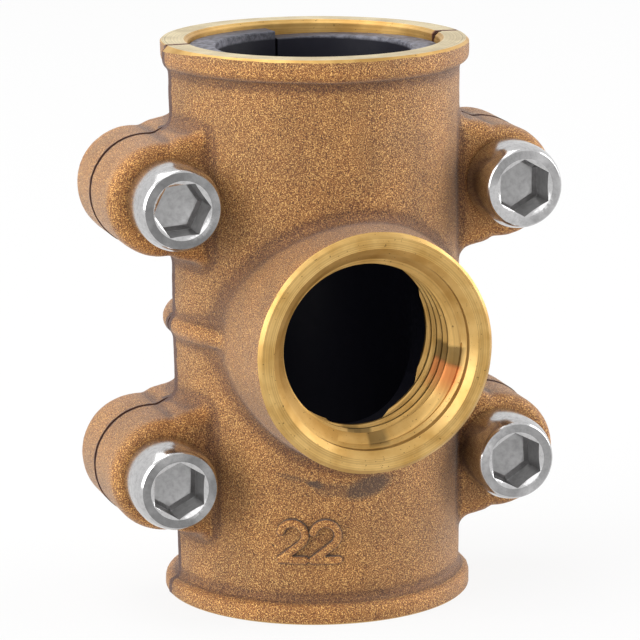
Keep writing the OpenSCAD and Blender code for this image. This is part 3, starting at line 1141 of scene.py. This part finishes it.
def store_wear(piece):
    """Stores where the skin stands out or lies in a crease, where dirt and painted shade sit, and the painted
    reflection in the thread.
    """
    mesh = piece.data
    points = np.empty(len(mesh.vertices) * 3)
    mesh.vertices.foreach_get("co", points)
    points = points.reshape(-1, 3) / MM
    grid, low = relief[piece.name]
    x, y, z = points.T
    along = wall_r * np.arctan2(x, -y)
    on_wall = (np.hypot(x, y) < wall_r + 0.8) & (y < 0)
    pipe_r = np.hypot(x, y)
    # A dark rim round the numerals' feet, dirt and painted shade in that crease.
    dirt = np.exp(-(numerals_outline(x, y, z) / 0.15) ** 2) * np.clip((wall_r + 0.4 - pipe_r) / 0.2, 0, 1)
    on_numerals = on_wall & (pipe_r > wall_r + 0.35) & (z > -26) & (z < -18)
    stands_out = sample(grid, low, points) + 0.15 * on_numerals
    # Blots under the branch: stain and painted shadow.
    for centre_u, centre_z, half_u, half_z, tilt, strength in blots:
        c, s = math.cos(math.radians(tilt)), math.sin(math.radians(tilt))
        u, w = along - centre_u, z - centre_z
        away = np.hypot((u * c + w * s) / half_u, (w * c - u * s) / half_z)
        dirt = np.maximum(dirt, strength * np.clip(2.2 - 2 * away, 0, 1))
    dirt = np.where(on_wall, dirt, 0)
    angle = np.degrees(np.arctan2(z, x))
    in_thread = (np.hypot(x, z) < counterbore_r - 0.1) & (y < -bore_r) & (np.abs(angle) < 130)
    for centre_a, half_a, centre_y, half_y, strength in smears:
        away = np.maximum(np.abs(angle - centre_a) / half_a, np.abs(y - centre_y) / half_y)
        dirt = np.where(in_thread, np.maximum(dirt, strength * np.clip(4 - 4 * away, 0, 1)), dirt)
    # The painted reflection: an orange band on the lower right of the thread.
    fade_in = np.clip((angle + 38) / 14, 0, 1)
    fade_out = np.clip((-13 - angle) / 2, 0, 1)
    tarnish = np.where(in_thread, 0.7 * fade_in * fade_out, 0)
    store(mesh, "POINT", relief=stands_out, dirt=dirt, tarnish=tarnish)
    print(piece.name, "relief", np.percentile(stands_out, (1, 10, 50, 90, 99)).round(2))


for piece in (front_shell, rear_shell):
    store_wear(piece)

# %% Sleeve and screws
seal.data.materials.clear()
seal.data.materials.append(seal_rubber)
run_tree(screws, set_on_points_tree(), object=screw, material=zinc_steel)
bpy.data.objects.remove(screw)
print("screws:", len(screws.data.polygons), "faces")

# %% [markdown]
# Smooth shading suits cast skin, but a turned edge has to stay crisp.

# %% Smooth faces with crisp machined edges
for piece, angle in ((front_shell, 32), (rear_shell, 32), (seal, 50), (screws, 32)):
    piece.data.shade_smooth()
    piece.data.set_sharp_from_angle(angle=math.radians(angle))
    print(piece.name, "sharp beyond", angle, "degrees")

# %% [markdown]
# ## Floor, light and background
#
# The saddle stands on its lower end on a plain pale floor. The light is soft and
# plain: two large lamps left and right, one above and behind, and a weak one in front.
# The floor and the sky look white to the camera, but give less light than they show.

# %% Floor and background
floor_half = 3000.0
corners = [(x * floor_half, y * floor_half, -half_h) for x, y in ((-1, -1), (1, -1), (1, 1), (-1, 1))]
floor = mesh_object("floor", corners, [(0, 1, 2, 3)])


def seen_directly(tree):
    """1 for rays from the camera, from a glossy surface or through glass."""
    rays = node(tree, "ShaderNodeLightPath").outputs
    sharp = calc(tree, "MAXIMUM", rays["Is Camera Ray"], rays["Is Glossy Ray"])
    return calc(tree, "MAXIMUM", sharp, rays["Is Transmission Ray"])


floor_paint, tree = new_material("floor")
lit = node(tree, "ShaderNodeBsdfDiffuse", {"Color": grey(0.85)})
glow = node(tree, "ShaderNodeEmission", {"Color": grey(1.0), "Strength": 1.0})
share = calc(tree, "MULTIPLY", seen_directly(tree), 0.87)
both = node(tree, "ShaderNodeMixShader", {0: share, 1: lit, 2: glow})
node(tree, "ShaderNodeOutputMaterial", {"Surface": both})
floor.data.materials.append(floor_paint)

world = bpy.data.worlds.new("studio")
scene.world = world
world.use_nodes = True
tree = world.node_tree
tree.nodes.clear()
strength = calc(tree, "MULTIPLY_ADD", seen_directly(tree), 0.7, 0.3)
sky = node(tree, "ShaderNodeBackground", {"Color": grey(1.0), "Strength": strength})
node(tree, "ShaderNodeOutputWorld", {"Surface": sky})
print("floor at", round(-half_h, 2), "mm, world", world.name)


# %% Lamps
def lamp(name, place_m, size, power):
    """A square soft lamp that looks at the saddle."""
    data = bpy.data.lights.new(name, "AREA")
    data.size = size
    data.energy = power
    made = bpy.data.objects.new(name, data)
    made.location = place_m
    made.rotation_euler = (-Vector(place_m)).to_track_quat("-Z", "Y").to_euler()
    scene.collection.objects.link(made)


lamp("left", (-0.9, -0.15, 0.35), 0.8, 9.0)
lamp("right", (0.9, -0.1, 0.3), 0.8, 8.5)
lamp("top", (-0.3, 0.25, 0.95), 0.8, 5.0)
lamp("front", (-0.2, -0.9, 0.3), 0.6, 1.2)

scene.view_settings.view_transform = "Standard"
print("lamps:", [data.name for data in bpy.data.lights])

# %% [markdown]
# ## Handing the pieces over
#
# Each piece rides a body of the imported model and stands in for its nodes, which are hidden.

# %% Bodies and replaced nodes
dressed = ((front_shell, "cast_bronze", ["front_shell"]), (rear_shell, "cast_bronze", ["rear_shell"]),
           (seal, "seal_rubber", ["seal_sleeve"]), (screws, "zinc_steel", list(screw_places)))
for piece, slot, nodes in dressed:
    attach(piece, "root")
    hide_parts(*nodes)
    print(piece.name, "stands in for", nodes)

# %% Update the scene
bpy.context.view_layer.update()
